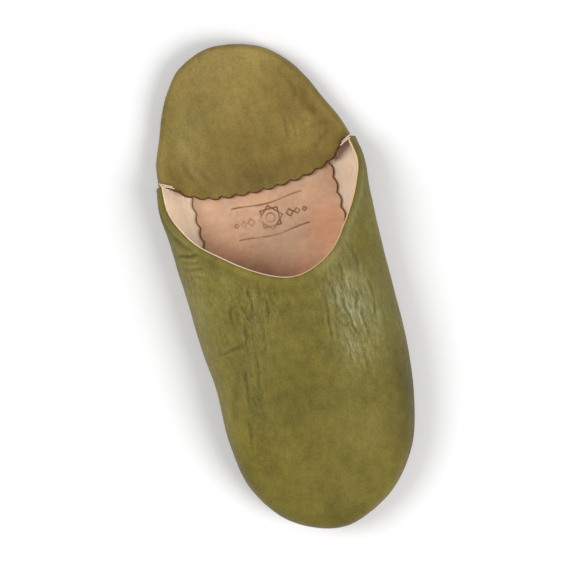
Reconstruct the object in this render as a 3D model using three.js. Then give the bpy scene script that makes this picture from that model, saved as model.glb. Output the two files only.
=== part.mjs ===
// Babouche slipper, right foot: a flat turned leather slip-on with a soft vamp and a heel quarter
// that is trodden down flat over the insole.
// Millimetres. +Z is up, the toe points along -Y and the heel along +Y. The origin is on the floor
// at the centre of the footprint. The lateral side is -X and the medial side is +X.
import * as THREE from "three";

const { clamp, lerp, smoothstep } = THREE.MathUtils;

// Driving dimensions.
const GAP = 0.3; // clearance between pieces that touch
const OUTSOLE = 3.5; // thickness of the sole leather
const INSOLE = 1.6; // thickness of the insole that covers the whole floor
const SOCK = 1.0; // thickness of the pinked sock sheet on the insole
const LEATHER = 2.0; // wall of the upper, outer skin and lining together
const FOOT_OF_WALL = 3.2; // width of the slanting wall where it stands on the sole
const SOLE_MARGIN = 1.0; // the sole reaches this far outside the feather edge
const TOE_Y = -131; // toe tip
const TOE_SPRING = 4; // rise of the sole at the toe tip
const SPRING_START_Y = -58; // the sole is flat from the heel to here
const SOCK_HALF_WIDTH = 37.5;
const SOCK_HEEL_Y = 112;
const SOCK_TOE_Y = -104;
const SCALLOP_PITCH = 8; // pitch and depth of the pinked edges
const SCALLOP_DEPTH = 1.3;
const FLAP_SCALLOPS = 14; // scallops along the quarter's front edge

// Heights of the stacked layers.
const INSOLE_Z = OUTSOLE + GAP;
const SOCK_Z = INSOLE_Z + INSOLE + GAP;
const FEATHER_Z = OUTSOLE + GAP; // where the upper's wall stands on the sole

// How finely the surfaces are cut into facets.
const VAMP_STEPS = 72; // ribs round the toe
const QUARTER_STEPS = 4 * FLAP_SCALLOPS; // ribs round the heel
const ROWS_UNDER = 3; // rows of facets below the widest line
const ROWS_OVER = 10; // rows of facets above it
const SOLE_STATIONS = 48;
const SOLE_COLUMNS = 4;
const SOCK_STEPS = 4; // stations to each scallop of the sock
const SOCK_COLUMNS = 2;

// Each rib is a line over the leather from the feather edge at the sole to the piece's free lip.
//   y, lateral, medial  where the rib crosses the widest line of the shoe
//   z, tuck             height of that line, and how far the feather edge lies inside it
//   lipY, lipLateral, lipMedial, lipZ  where the rib ends
//   shoulder, reach     height of the rounded edge, and how far in it takes
const RIB_COLUMNS = "y lateral medial z tuck lipY lipLateral lipMedial lipZ shoulder reach".split(" ");

// Vamp: from the rear corner of the collar forward to the toe tip, whose rib ends at the throat.
const VAMP_RIBS = [
  [65.7, -53.9, 54.1, 12.0, 7.4, 65.7, -50.6, 51.4, 21.0, 21.0, 9],
  [53.0, -55.6, 55.7, 12.5, 8.2, 52.5, -50.2, 52.0, 24.5, 24.5, 12],
  [35.0, -54.2, 54.7, 12.5, 7.6, 41.0, -45.6, 47.8, 31.0, 30.0, 16],
  [11.0, -53.2, 53.4, 12.0, 6.6, 30.0, -38.0, 41.6, 37.0, 33.0, 22],
  [-16.0, -52.4, 53.2, 11.0, 5.6, 21.0, -28.5, 34.6, 41.0, 32.5, 26],
  [-45.0, -50.6, 52.8, 10.0, 4.6, 13.0, -18.6, 27.4, 43.8, 30.5, 29],
  [-74.0, -50.6, 49.4, 9.5, 4.0, 7.2, -9.6, 20.4, 45.4, 27.5, 30],
  [-100.0, -45.4, 40.9, 9.0, 3.6, 3.8, -2.4, 14.6, 46.2, 24.0, 30],
  [-121.0, -29.6, 22.8, 9.0, 3.4, 2.3, 3.2, 10.6, 46.6, 21.5, 28],
  [TOE_Y, -4.0, -4.0, 9.0, 3.4, 2.0, 7.0, 7.0, 46.8, 20.5, 27],
];

// Heel quarter: from the side seam back to the heel. It rolls over and lies flat on the sock, so
// its free lip is the scalloped front edge of the flap.
const QUARTER_RIBS = [
  [66.0, -52.3, 52.5, 11.5, 5.8, 66.0, -47.2, 47.9, 20.0, 20.0, 9],
  [78.0, -50.4, 48.9, 10.5, 5.0, 61.0, -42.4, 43.4, 14.0, 17.5, 9],
  [90.0, -45.8, 43.2, 9.5, 4.4, 57.0, -36.4, 37.6, 10.0, 15.5, 9],
  [102.0, -41.2, 37.8, 9.0, 4.0, 54.0, -28.0, 29.0, 9.3, 14.5, 9],
  [114.0, -34.6, 30.2, 8.5, 3.8, 52.4, -18.6, 19.6, 9.3, 14.0, 9],
  [125.3, -23.4, 16.6, 8.5, 3.8, 51.6, -9.1, 10.1, 9.3, 14.0, 9],
  [131.0, -5.6, -5.6, 8.5, 3.8, 51.3, 0.5, 0.5, 9.3, 14.0, 9],
];

// The two pieces of the upper.
//   spacing  the two columns along which the ribs are evenly spaced: the widest line or the lip
//   inside   1 where the inside of the shoe is to the left as the ribs run on, -1 where to the right
//   fall     share of the way from the shoulder's height to the lip's, at share t along a rib
const VAMP = {
  ribs: bothSides(VAMP_RIBS),
  spacing: ["x", "y"],
  inside: 1,
  scallops: 0,
  fall: (t) => t,
};
const QUARTER = {
  ribs: bothSides(QUARTER_RIBS),
  spacing: ["lipX", "lipY"],
  inside: -1,
  scallops: FLAP_SCALLOPS,
  fall: (t) => smoothstep(t, 0.06, 0.5),
};

// One list of named ribs from the lateral seam round to the medial seam.
function bothSides(table) {
  const rows = table.map((row) => Object.fromEntries(RIB_COLUMNS.map((name, i) => [name, row[i]])));
  const lateral = rows.map((row) => ({ ...row, x: row.lateral, lipX: row.lipLateral }));
  const medial = rows.map((row) => ({ ...row, x: row.medial, lipX: row.lipMedial }));
  return [...lateral, ...medial.reverse().slice(1)];
}

// The rib at share u of the way round, with every column interpolated smoothly.
function ribAt({ ribs, spacing: [across, along] }, u) {
  const at = [0];
  for (let i = 1; i < ribs.length; i++) {
    const step = Math.hypot(ribs[i][across] - ribs[i - 1][across], ribs[i][along] - ribs[i - 1][along]);
    at.push(at[i - 1] + step);
  }
  const last = ribs.length - 1;
  const place = clamp(u, 0, 1) * at[last];
  const i = clamp(at.findIndex((start) => start > place) - 1, 0, last - 1);
  const k = place === at[last] ? last - 1 : i;
  const span = at[k + 1] - at[k];
  const t = (place - at[k]) / span;
  const slope = (name, j) => {
    const before = Math.max(j - 1, 0);
    const after = Math.min(j + 1, last);
    return (ribs[after][name] - ribs[before][name]) / (at[after] - at[before]);
  };
  const blend = (name) => {
    const ends = lerp(ribs[k][name], ribs[k + 1][name], t * t * (3 - 2 * t));
    const slopes = slope(name, k) * (1 - t) - slope(name, k + 1) * t;
    return ends + slopes * span * t * (1 - t);
  };
  return Object.fromEntries(Object.keys(ribs[0]).map((name) => [name, blend(name)]));
}

// Direction into the shoe, square to the widest line. At the side seams it is square to the seam.
function inwardAt(piece, u) {
  const step = 0.001;
  const seamShare = 0.04; // share of the way round over which the seam turns the direction
  const a = ribAt(piece, u - step);
  const b = ribAt(piece, u + step);
  const square = new THREE.Vector2(a.y - b.y, b.x - a.x).normalize().multiplyScalar(piece.inside);
  const seam = new THREE.Vector2(u < 0.5 ? 1 : -1, 0);
  return seam.lerp(square, smoothstep(Math.min(u, 1 - u), 0, seamShare)).normalize();
}

// How the toe spring lifts everything on the sole.
function spring(y) {
  const share = Math.max(0, (SPRING_START_Y - y) / (SPRING_START_Y - TOE_Y));
  return TOE_SPRING * share ** 2;
}

// Height of a pinked edge's arcs, at a place counted in scallops.
const scallop = (place) => SCALLOP_DEPTH * Math.abs(Math.sin(Math.PI * place));

// How far a piece's lip runs forward in scallops, which die out towards the side seams.
function pinking(piece, u) {
  const [plainShare, fullShare] = [0.03, 0.1];
  return scallop(u * piece.scallops) * smoothstep(Math.min(u, 1 - u), plainShare, fullShare);
}

// Rise of a rounded edge, as a share of its height, at a share of its reach inwards.
const roundedEdge = (share) => Math.sqrt(1 - Math.max(0, 1 - share) ** 2.4);

// A point on the outside of a piece, on the rib at u. v runs from -1 at the feather edge through 0
// at the widest line to 1 at the lip.
function outside(piece, u, v) {
  const rib = ribAt(piece, u);
  const inward = inwardAt(piece, u);
  const edge = new THREE.Vector2(rib.x, rib.y);
  if (v < 0) {
    const under = edge.addScaledVector(inward, rib.tuck * v ** 2);
    return new THREE.Vector3(under.x, under.y, lerp(rib.z, FEATHER_Z, -v));
  }
  const t = v ** 2; // finer steps where the edge is round
  const lip = new THREE.Vector2(rib.lipX, rib.lipY);
  const length = edge.distanceTo(lip);
  const squareRun = Math.min(14, 0.45 * length); // the rib leaves the edge square to it
  const bend = edge.clone().addScaledVector(inward, squareRun);
  const plan = new THREE.QuadraticBezierCurve(edge, bend, lip).getPoint(t);
  const rise = roundedEdge((t * length) / rib.reach) / roundedEdge(length / rib.reach);
  const z = rib.z + (rib.shoulder - rib.z) * rise + (rib.lipZ - rib.shoulder) * piece.fall(t);
  return new THREE.Vector3(plan.x, plan.y - pinking(piece, u) * t ** 8, z);
}

// A closed solid between two matching grids of points, raised by the toe spring.
function solidBetween(outer, inner, name, material) {
  const rows = outer.length;
  const columns = outer[0].length;
  const position = [...outer.flat(), ...inner.flat()].flatMap((p) => [p.x, p.y, p.z + spring(p.y)]);
  const out = (i, j) => i * columns + j;
  const inn = (i, j) => (rows + i) * columns + j;
  const index = [];
  const quad = (a, b, c, d) => index.push(a, b, c, a, c, d);
  for (let i = 0; i < rows - 1; i++) {
    for (let j = 0; j < columns - 1; j++) {
      quad(out(i, j), out(i + 1, j), out(i + 1, j + 1), out(i, j + 1));
      quad(inn(i, j), inn(i, j + 1), inn(i + 1, j + 1), inn(i + 1, j));
    }
    quad(out(i, 0), inn(i, 0), inn(i + 1, 0), out(i + 1, 0));
    quad(out(i, columns - 1), out(i + 1, columns - 1), inn(i + 1, columns - 1), inn(i, columns - 1));
  }
  for (let j = 0; j < columns - 1; j++) {
    quad(out(0, j), out(0, j + 1), inn(0, j + 1), inn(0, j));
    quad(out(rows - 1, j), inn(rows - 1, j), inn(rows - 1, j + 1), out(rows - 1, j + 1));
  }
  const geometry = new THREE.BufferGeometry();
  geometry.setAttribute("position", new THREE.Float32BufferAttribute(position, 3));
  geometry.setIndex(index);
  geometry.computeVertexNormals();
  const mesh = new THREE.Mesh(geometry, material);
  mesh.name = name;
  return mesh;
}

// A piece of the upper as a hollow leather wall: the outside, and the same surface one leather
// thickness further in, cut level where it stands on the sole.
function leatherWall(piece, steps, name, material) {
  const rows = ROWS_UNDER + ROWS_OVER;
  const height = (j) => (j < ROWS_UNDER ? j / ROWS_UNDER - 1 : (j - ROWS_UNDER) / ROWS_OVER);
  const outer = Array.from({ length: steps + 1 }, (_, i) =>
    Array.from({ length: rows + 1 }, (_, j) => outside(piece, i / steps, height(j))),
  );
  const insideOf = (point, i, j) => {
    if (j === 0) {
      const level = inwardAt(piece, i / steps).multiplyScalar(FOOT_OF_WALL);
      return new THREE.Vector3(point.x + level.x, point.y + level.y, point.z);
    }
    const upRib = outer[i][Math.min(j + 1, rows)].clone().sub(outer[i][j - 1]);
    const onwards = outer[Math.min(i + 1, steps)][j].clone().sub(outer[Math.max(i - 1, 0)][j]);
    const normal = onwards.cross(upRib).multiplyScalar(piece.inside);
    if (i === 0 || i === steps) normal.setY(0); // the seam edges stay square to the shoe's length
    return point.clone().addScaledVector(normal.normalize(), -LEATHER);
  };
  const inner = outer.map((points, i) => points.map((point, j) => insideOf(point, i, j)));
  const inOrder = (grid) => (piece.inside < 0 ? grid.reverse() : grid);
  return solidBetween(inOrder(outer), inOrder(inner), name, material);
}

// The closed outline that lies a given distance inside the feather edge, vamp and heel together.
function footprint(inset) {
  const samples = 90;
  const pointOf = (piece, i) => {
    const rib = ribAt(piece, i / samples);
    const inward = inwardAt(piece, i / samples);
    return new THREE.Vector2(rib.x, rib.y).addScaledVector(inward, rib.tuck + inset);
  };
  const vamp = Array.from({ length: samples + 1 }, (_, i) => pointOf(VAMP, i));
  const quarter = Array.from({ length: samples + 1 }, (_, i) => pointOf(QUARTER, samples - i));
  return [...vamp, ...quarter];
}

// Where an outline crosses the line at y, as its least and greatest x.
function crossing(outline, y) {
  const found = [];
  outline.forEach((a, i) => {
    const b = outline[(i + 1) % outline.length];
    if (a.y !== b.y && (a.y - y) * (b.y - y) <= 0) found.push(lerp(a.x, b.x, (y - a.y) / (b.y - a.y)));
  });
  return [Math.min(...found), Math.max(...found)];
}

// Places along an outline's length, closer together at its round ends.
function stations(outline) {
  const shortOfTip = 0.02;
  const ys = outline.map((point) => point.y);
  const middle = (Math.min(...ys) + Math.max(...ys)) / 2;
  const half = Math.max(...ys) - middle - shortOfTip;
  const angle = (i) => (Math.PI * i) / SOLE_STATIONS;
  return Array.from({ length: SOLE_STATIONS + 1 }, (_, i) => middle - half * Math.cos(angle(i)));
}

// A plate lying at height z, from sections across the shoe: each gives its y, and the x limits of
// its underside and of its top.
function plate(sections, z, thickness, columns, name, material) {
  const row = (limits, y, height) =>
    Array.from({ length: columns + 1 }, (_, j) => new THREE.Vector3(lerp(...limits, j / columns), y, height));
  const fromHeel = sections.toReversed();
  const top = fromHeel.map((section) => row(section.top, section.y, z + thickness));
  const underside = fromHeel.map((section) => row(section.underside, section.y, z));
  return solidBetween(top, underside, name, material);
}

const leather = (color, roughness) => new THREE.MeshStandardMaterial({ color, roughness, metalness: 0 });

function outsole() {
  const outline = footprint(-SOLE_MARGIN);
  const sections = stations(outline).map((y) => {
    const limits = crossing(outline, y);
    return { y, underside: limits, top: limits };
  });
  return plate(sections, 0, OUTSOLE, SOLE_COLUMNS, "outsole", leather(0xb58a5c, 0.6));
}

// The insole's edge leans outwards with the foot of the wall around it.
function insole() {
  const clearance = 0.5;
  const lean = 0.5;
  const underside = footprint(FOOT_OF_WALL + clearance);
  const top = footprint(FOOT_OF_WALL + clearance - lean);
  const section = (y) => ({ y, underside: crossing(underside, y), top: crossing(top, y) });
  const sections = stations(underside).map(section);
  return plate(sections, INSOLE_Z, INSOLE, SOLE_COLUMNS, "insole", leather(0xd9bf9f, 0.7));
}

// The sock is narrower than the floor: straight pinked sides, and ends that follow the insole.
function sock() {
  const clearance = 1.3;
  const outline = footprint(FOOT_OF_WALL + clearance);
  const steps = Math.round((SOCK_HEEL_Y - SOCK_TOE_Y) / SCALLOP_PITCH) * SOCK_STEPS;
  const sections = Array.from({ length: steps + 1 }, (_, i) => {
    const y = lerp(SOCK_TOE_Y, SOCK_HEEL_Y, i / steps);
    const [lateral, medial] = crossing(outline, y);
    const bump = scallop(i / SOCK_STEPS);
    const limits = [Math.max(lateral, -SOCK_HALF_WIDTH) - bump, Math.min(medial, SOCK_HALF_WIDTH) + bump];
    return { y, underside: limits, top: limits };
  });
  return plate(sections, SOCK_Z, SOCK, SOCK_COLUMNS, "sock", leather(0xbd977c, 0.6));
}

const babouche = new THREE.Group();
babouche.add(
  outsole(),
  insole(),
  sock(),
  leatherWall(VAMP, VAMP_STEPS, "upper", leather(0x7a6f38, 0.55)),
  leatherWall(QUARTER, QUARTER_STEPS, "heel_quarter", leather(0x85753f, 0.6)),
);

export default babouche;
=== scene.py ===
"""Babouche slipper, right foot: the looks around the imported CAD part.

The slipper stands on the floor with its toe along -Y, its heel along +Y, the lateral side at -X and
the medial side at +X. Shapes are worked out in millimetres, in the part's own frame, and become
metres when a mesh is made.

The ribs below have the same columns as the part's own, fitted more closely. Most of each fine surface
lies within 1 mm of its CAD node, but the collar is wider: its medial edge stands up to 4 mm outside
the CAD node's edge.
"""

import math

import bpy
import numpy as np
from mathutils import Matrix, Vector


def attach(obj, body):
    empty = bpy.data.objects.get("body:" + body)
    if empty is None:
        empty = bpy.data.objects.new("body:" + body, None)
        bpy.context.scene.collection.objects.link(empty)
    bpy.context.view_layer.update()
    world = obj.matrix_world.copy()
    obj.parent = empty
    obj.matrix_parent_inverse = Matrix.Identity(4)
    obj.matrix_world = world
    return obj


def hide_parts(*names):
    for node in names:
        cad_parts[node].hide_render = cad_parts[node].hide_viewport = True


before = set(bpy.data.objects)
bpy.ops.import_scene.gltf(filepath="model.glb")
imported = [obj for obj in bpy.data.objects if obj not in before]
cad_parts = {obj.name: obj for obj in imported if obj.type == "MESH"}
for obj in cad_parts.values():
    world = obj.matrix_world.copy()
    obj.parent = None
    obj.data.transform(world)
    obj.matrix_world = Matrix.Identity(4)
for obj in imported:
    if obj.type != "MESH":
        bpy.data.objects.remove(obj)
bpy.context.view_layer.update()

MM = 0.001

# ---------------------------------------------------------------- driving dimensions, millimetres
GAP = 0.3
OUTSOLE = 3.5
INSOLE = 1.6
SOCK = 1.0
LEATHER = 2.0
SKIN = 1.15  # the outer leather of the wall; the rest is lining
FOOT_OF_WALL = 3.2
SOLE_MARGIN = 1.0
TOE_Y = -131
TOE_SPRING = 4
SPRING_START_Y = -58
SOCK_HALF_WIDTH = 37.5
SOCK_HEEL_Y = 112
SOCK_TOE_Y = -104
SCALLOP_PITCH = 8
SCALLOP_DEPTH = 1.3
FLAP_SCALLOPS = 14

INSOLE_Z = OUTSOLE + GAP
SOCK_Z = INSOLE_Z + INSOLE + GAP
FEATHER_Z = OUTSOLE + GAP

RIB_COLUMNS = "y lateral medial z tuck lipY lipLateral lipMedial lipZ shoulder reach".split()
VAMP_RIBS = [
    [65.7, -54.4, 54.1, 12.0, 7.4, 65.7, -51.4, 51.9, 21.0, 21.0, 9],
    [53.0, -56.0, 55.9, 12.5, 8.2, 52.5, -51.2, 53.6, 24.5, 24.5, 12],
    [35.0, -54.6, 54.3, 12.5, 7.6, 41.0, -46.8, 50.2, 31.0, 30.0, 16],
    [11.0, -53.7, 53.4, 12.0, 6.6, 30.0, -39.2, 44.5, 37.0, 33.0, 22],
    [-16.0, -52.8, 53.4, 11.0, 5.6, 21.0, -29.0, 38.2, 41.0, 32.5, 26],
    [-45.0, -51.1, 52.8, 10.0, 4.6, 13.0, -18.8, 32.0, 43.8, 30.5, 29],
    [-74.0, -51.4, 49.2, 9.5, 4.0, 7.2, -9.6, 24.8, 45.2, 26.8, 30],
    [-100.0, -46.4, 40.9, 9.0, 3.6, 3.6, -2.2, 17.4, 46.0, 22.0, 28],
    [-121.0, -30.6, 22.8, 9.0, 3.4, 1.9, 3.6, 11.4, 46.4, 19.0, 25],
    [TOE_Y, -4.4, -4.4, 9.0, 3.4, 1.6, 7.4, 7.4, 46.6, 18.0, 23],
]
QUARTER_RIBS = [
    [66.0, -52.8, 52.5, 11.5, 5.8, 66.0, -47.7, 48.1, 20.0, 20.0, 9],
    [78.0, -51.4, 48.8, 10.5, 5.0, 61.0, -42.6, 43.4, 14.0, 17.5, 9],
    [90.0, -46.8, 43.0, 9.5, 4.4, 57.0, -36.4, 37.6, 10.0, 15.5, 9],
    [102.0, -42.2, 37.8, 9.0, 4.0, 54.0, -28.0, 29.0, 9.3, 14.5, 9],
    [114.0, -35.8, 30.2, 8.5, 3.8, 52.4, -18.6, 19.6, 9.3, 14.0, 9],
    [125.3, -25.2, 16.6, 8.5, 3.8, 51.6, -9.1, 10.1, 9.3, 14.0, 9],
    [131.0, -6.2, -6.2, 8.5, 3.8, 51.3, 0.5, 0.5, 9.3, 14.0, 9],
]


# ------------------------------------------------------------------------------- camera and light
AXIS_ROLL = math.radians(14.9)  # the slipper lies turned by this much in the picture
CAMERA_PLACE = Vector((0.0716, -0.020, 1.2))  # overhead, a little to the medial side
CAMERA_AIM = Vector((-0.0015, -0.0006, 0.012))
PICTURE_WIDTH = 0.300  # what the picture takes in at the slipper, in metres
SENSOR = 36
WORLD_STRENGTH = 0.40
LIGHTS = [  # name, place and diameter in metres, power in watts
    ("key", (0.92, -0.74, 1.22), 0.9, 21),
    ("fill", (-0.92, 0.32, 1.30), 0.9, 14),
]


def make_camera():
    data = bpy.data.cameras.new("camera")
    data.sensor_width = SENSOR
    data.lens = SENSOR * (CAMERA_PLACE - CAMERA_AIM).length / PICTURE_WIDTH
    camera = bpy.data.objects.new("camera", data)
    bpy.context.scene.collection.objects.link(camera)
    forward = (CAMERA_AIM - CAMERA_PLACE).normalized()
    picture_up = Vector((math.sin(AXIS_ROLL), math.cos(AXIS_ROLL), 0))
    right = forward.cross(picture_up).normalized()
    up = right.cross(forward)
    turn = Matrix((right, up, -forward)).transposed()
    camera.matrix_world = Matrix.Translation(CAMERA_PLACE) @ turn.to_4x4()
    bpy.context.scene.camera = camera


def make_area_light(name, place, size, power):
    """A soft round light that looks at the slipper's origin."""
    data = bpy.data.lights.new(name, "AREA")
    data.shape = "DISK"
    data.size = size
    data.energy = power
    light = bpy.data.objects.new(name, data)
    bpy.context.scene.collection.objects.link(light)
    light.location = place
    light.rotation_euler = (-Vector(place)).to_track_quat("-Z", "Y").to_euler()


def make_world(strength):
    world = bpy.data.worlds.new("studio")
    world.use_nodes = True
    background = world.node_tree.nodes["Background"]
    background.inputs["Color"].default_value = (1, 1, 1, 1)
    background.inputs["Strength"].default_value = strength
    bpy.context.scene.world = world


# ------------------------------------------------------------------------------- number functions
def smoothstep(x, low, high):
    t = np.clip((x - low) / (high - low), 0, 1)
    return t * t * (3 - 2 * t)


def noise(x, y, seed):
    """Smooth noise from -1 to 1, with one lattice value to each unit square."""
    lattice = np.random.default_rng(seed).uniform(-1, 1, (64, 64))
    column, row = np.floor(x).astype(int), np.floor(y).astype(int)
    across, up = smoothstep(x - column, 0, 1), smoothstep(y - row, 0, 1)

    def corner(i, j):
        return lattice[(column + i) % 64, (row + j) % 64]

    low = corner(0, 0) * (1 - across) + corner(1, 0) * across
    high = corner(0, 1) * (1 - across) + corner(1, 1) * across
    return low * (1 - up) + high * up


def cloudy(x, y, layers):
    """Layers of noise added up; a layer is its strength, its size along x and along y, and its seed."""
    return sum(strength * noise(x / across, y / along, seed) for strength, across, along, seed in layers)


def distance_to_path(x, y, path):
    """Distance of each point to a line through the path's points, and its share of the way along."""
    corners = np.array(path, float)
    lengths = np.hypot(*np.diff(corners, axis=0).T)
    starts = np.concatenate([[0], np.cumsum(lengths)])
    best = np.full(np.shape(x), np.inf)
    share = np.zeros(np.shape(x))
    for (ax, ay), (bx, by), length, start in zip(corners, corners[1:], lengths, starts):
        t = np.clip(((x - ax) * (bx - ax) + (y - ay) * (by - ay)) / length**2, 0, 1)
        distance = np.hypot(x - ax - t * (bx - ax), y - ay - t * (by - ay))
        nearer = distance < best
        best = np.where(nearer, distance, best)
        share = np.where(nearer, (start + t * length) / starts[-1], share)
    return best, share


# ----------------------------------------------------------------------------- the upper's surface
def both_sides(table):
    """The ribs from the lateral seam round to the medial seam, as a dictionary of columns."""
    rows = [dict(zip(RIB_COLUMNS, row)) for row in table]
    lateral = [{**row, "x": row["lateral"], "lipX": row["lipLateral"]} for row in rows]
    medial = [{**row, "x": row["medial"], "lipX": row["lipMedial"]} for row in rows]
    ribs = lateral + medial[-2::-1]
    names = ["x", "y", "z", "tuck", "lipX", "lipY", "lipZ", "shoulder", "reach"]
    return {name: np.array([rib[name] for rib in ribs], float) for name in names}


VAMP = {
    "ribs": both_sides(VAMP_RIBS),
    "spacing": ("x", "y"),
    "inside": 1,
    "scallops": 0,
    "fall": lambda t: t,
}
QUARTER = {
    "ribs": both_sides(QUARTER_RIBS),
    "spacing": ("lipX", "lipY"),
    "inside": -1,
    "scallops": FLAP_SCALLOPS,
    "fall": lambda t: smoothstep(t, 0.06, 0.5),
}


def rib_at(piece, u):
    """Every column of the ribs at shares u of the way round, interpolated smoothly."""
    ribs = piece["ribs"]
    across, along = (ribs[name] for name in piece["spacing"])
    at = np.concatenate([[0], np.cumsum(np.hypot(np.diff(across), np.diff(along)))])
    last = len(at) - 1
    place = np.clip(u, 0, 1) * at[-1]
    k = np.clip(np.searchsorted(at, place, side="right") - 1, 0, last - 1)
    span = at[k + 1] - at[k]
    t = (place - at[k]) / span
    before = np.maximum(np.arange(last + 1) - 1, 0)
    after = np.minimum(np.arange(last + 1) + 1, last)
    found = {}
    for name, values in ribs.items():
        slope = (values[after] - values[before]) / (at[after] - at[before])
        ends = values[k] + (values[k + 1] - values[k]) * t * t * (3 - 2 * t)
        found[name] = ends + (slope[k] * (1 - t) - slope[k + 1] * t) * span * t * (1 - t)
    return found


def inward_at(piece, u):
    """Unit direction into the shoe, square to the widest line, and to the seam at the side seams."""
    step = 0.001
    seam_share = 0.04
    a, b = rib_at(piece, u - step), rib_at(piece, u + step)
    square = np.stack([a["y"] - b["y"], b["x"] - a["x"]], -1) * piece["inside"]
    square /= np.linalg.norm(square, axis=-1, keepdims=True)
    seam = np.stack([np.where(u < 0.5, 1.0, -1.0), np.zeros_like(u)], -1)
    share = smoothstep(np.minimum(u, 1 - u), 0, seam_share)[:, None]
    mixed = seam * (1 - share) + square * share
    return mixed / np.linalg.norm(mixed, axis=-1, keepdims=True)


def spring(y):
    return TOE_SPRING * np.maximum(0, (SPRING_START_Y - y) / (SPRING_START_Y - TOE_Y)) ** 2


def scallop(place):
    return SCALLOP_DEPTH * np.abs(np.sin(np.pi * place))


def rounded_edge(share):
    return np.sqrt(1 - np.maximum(0, 1 - share) ** 2.4)


def surface(piece, u, under, over, lip_steps):
    """The outside of a piece as a grid of points: a row for each rib, a column for each height.

    under holds heights from -1 at the feather edge to 0 at the widest line, over holds even steps
    from there up, and lip_steps holds the last columns as distances from the lip.
    """
    rib = {name: column[:, None] for name, column in rib_at(piece, u).items()}
    inward = inward_at(piece, u)[:, None, :]
    edge = np.stack([rib["x"], rib["y"]], -1)
    lip = np.stack([rib["lipX"], rib["lipY"]], -1)
    length = np.linalg.norm(edge - lip, axis=-1)

    inset = rib["tuck"] * under**2
    below = np.dstack([edge + inward * inset[..., None], rib["z"] + (rib["z"] - FEATHER_Z) * under])

    even = 0.15  # the steps grow from nothing at the widest line to even ones past this share
    rising = over**2 * (1 + even) / (over + even)
    lip_shares = 1 - lip_steps / length
    t = np.hstack([rising * lip_shares[:, :1], lip_shares])
    square_run = np.minimum(14, 0.45 * length)
    bend = edge + inward * square_run[..., None]
    tt = t[..., None]
    plan = edge * (1 - tt) ** 2 + 2 * bend * tt * (1 - tt) + lip * tt**2
    rise = rounded_edge(t * length / rib["reach"]) / rounded_edge(length / rib["reach"])
    z = rib["z"] + (rib["shoulder"] - rib["z"]) * rise
    z = z + (rib["lipZ"] - rib["shoulder"]) * piece["fall"](t)
    fade = smoothstep(np.minimum(u, 1 - u), 0.03, 0.1)
    plan[..., 1] -= (scallop(u * piece["scallops"]) * fade)[:, None] * t**8
    points = np.concatenate([below, np.dstack([plan, z])], axis=1)
    points[..., 2] += spring(points[..., 1])
    return points


def normals_of(grid, inside):
    onwards = np.gradient(grid, axis=0)
    up_rib = np.gradient(grid, axis=1)
    normal = np.cross(onwards, up_rib) * inside
    normal[[0, -1], :, 1] = 0  # the seam edges stay square to the shoe's length
    return normal / np.linalg.norm(normal, axis=-1, keepdims=True)


def run_along(grid, axis):
    """Distance along the grid lines from their start, in millimetres."""
    steps = np.linalg.norm(np.diff(grid, axis=axis), axis=-1)
    pad = [(1, 0), (0, 0)] if axis == 0 else [(0, 0), (1, 0)]
    return np.pad(np.cumsum(steps, axis=axis), pad)


# -------------------------------------------------------------------------------------- meshes
def mesh_object(name, points, faces, materials, paint=None):
    """A smooth-shaded mesh from points in millimetres; paint holds its named vertex attributes."""
    mesh = bpy.data.meshes.new(name)
    mesh.from_pydata((np.asarray(points) * MM).tolist(), [], faces)
    for material in materials:
        mesh.materials.append(material)
    mesh.polygons.foreach_set("use_smooth", [True] * len(mesh.polygons))
    for key, values in (paint or {}).items():
        flat = np.asarray(values, np.float32)
        if flat.ndim == 2:
            layer = mesh.attributes.new(key, "FLOAT_COLOR", "POINT")
            layer.data.foreach_set("color", np.hstack([flat, np.ones((len(flat), 1))]).ravel())
        else:
            layer = mesh.attributes.new(key, "FLOAT", "POINT")
            layer.data.foreach_set("value", flat)
    mesh.update()
    thing = bpy.data.objects.new(name, mesh)
    bpy.context.scene.collection.objects.link(thing)
    return thing


def shell_faces(rows, columns):
    """Faces of the closed shell between an outer grid and an inner grid of the same size."""
    outer = np.arange(rows * columns).reshape(rows, columns)
    inner = outer + rows * columns

    def strip(a, b, c, d):
        return np.stack([a.ravel(), b.ravel(), c.ravel(), d.ravel()], -1)

    faces = [
        strip(outer[:-1, :-1], outer[1:, :-1], outer[1:, 1:], outer[:-1, 1:]),
        strip(inner[:-1, :-1], inner[:-1, 1:], inner[1:, 1:], inner[1:, :-1]),
        strip(outer[:-1, 0], inner[:-1, 0], inner[1:, 0], outer[1:, 0]),
        strip(outer[:-1, -1], outer[1:, -1], inner[1:, -1], inner[:-1, -1]),
        strip(outer[0, :-1], outer[0, 1:], inner[0, 1:], inner[0, :-1]),
        strip(outer[-1, :-1], inner[-1, :-1], inner[-1, 1:], outer[-1, 1:]),
    ]
    return np.concatenate(faces).tolist()


def shell_object(name, outer, inner, materials, paint, inside=1):
    """A closed shell between two grids; paint holds grids of values for the outer side."""
    turn = slice(None) if inside > 0 else slice(None, None, -1)
    points = np.concatenate([grid[turn].reshape(-1, 3) for grid in (outer, inner)])
    flat = {}
    for key, values in paint.items():
        one_side = values[turn].reshape(len(points) // 2, -1).squeeze()
        flat[key] = np.concatenate([one_side, one_side])
    return mesh_object(name, points, shell_faces(*outer.shape[:2]), materials, flat)


def edge_round(distance, radius):
    """Share of the full thickness left at a distance from a rounded edge."""
    share = np.clip(distance / radius, 0, 1)
    return 0.2 + 0.8 * np.sqrt(1 - (1 - share) ** 2)


# ------------------------------------------------------------------------------- node materials
def node(tree, kind, values=None, **settings):
    made = tree.nodes.new(kind)
    for key, value in settings.items():
        setattr(made, key, value)
    for key, value in (values or {}).items():
        if isinstance(value, bpy.types.NodeSocket):
            tree.links.new(value, made.inputs[key])
        else:
            made.inputs[key].default_value = value
    return made


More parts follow.
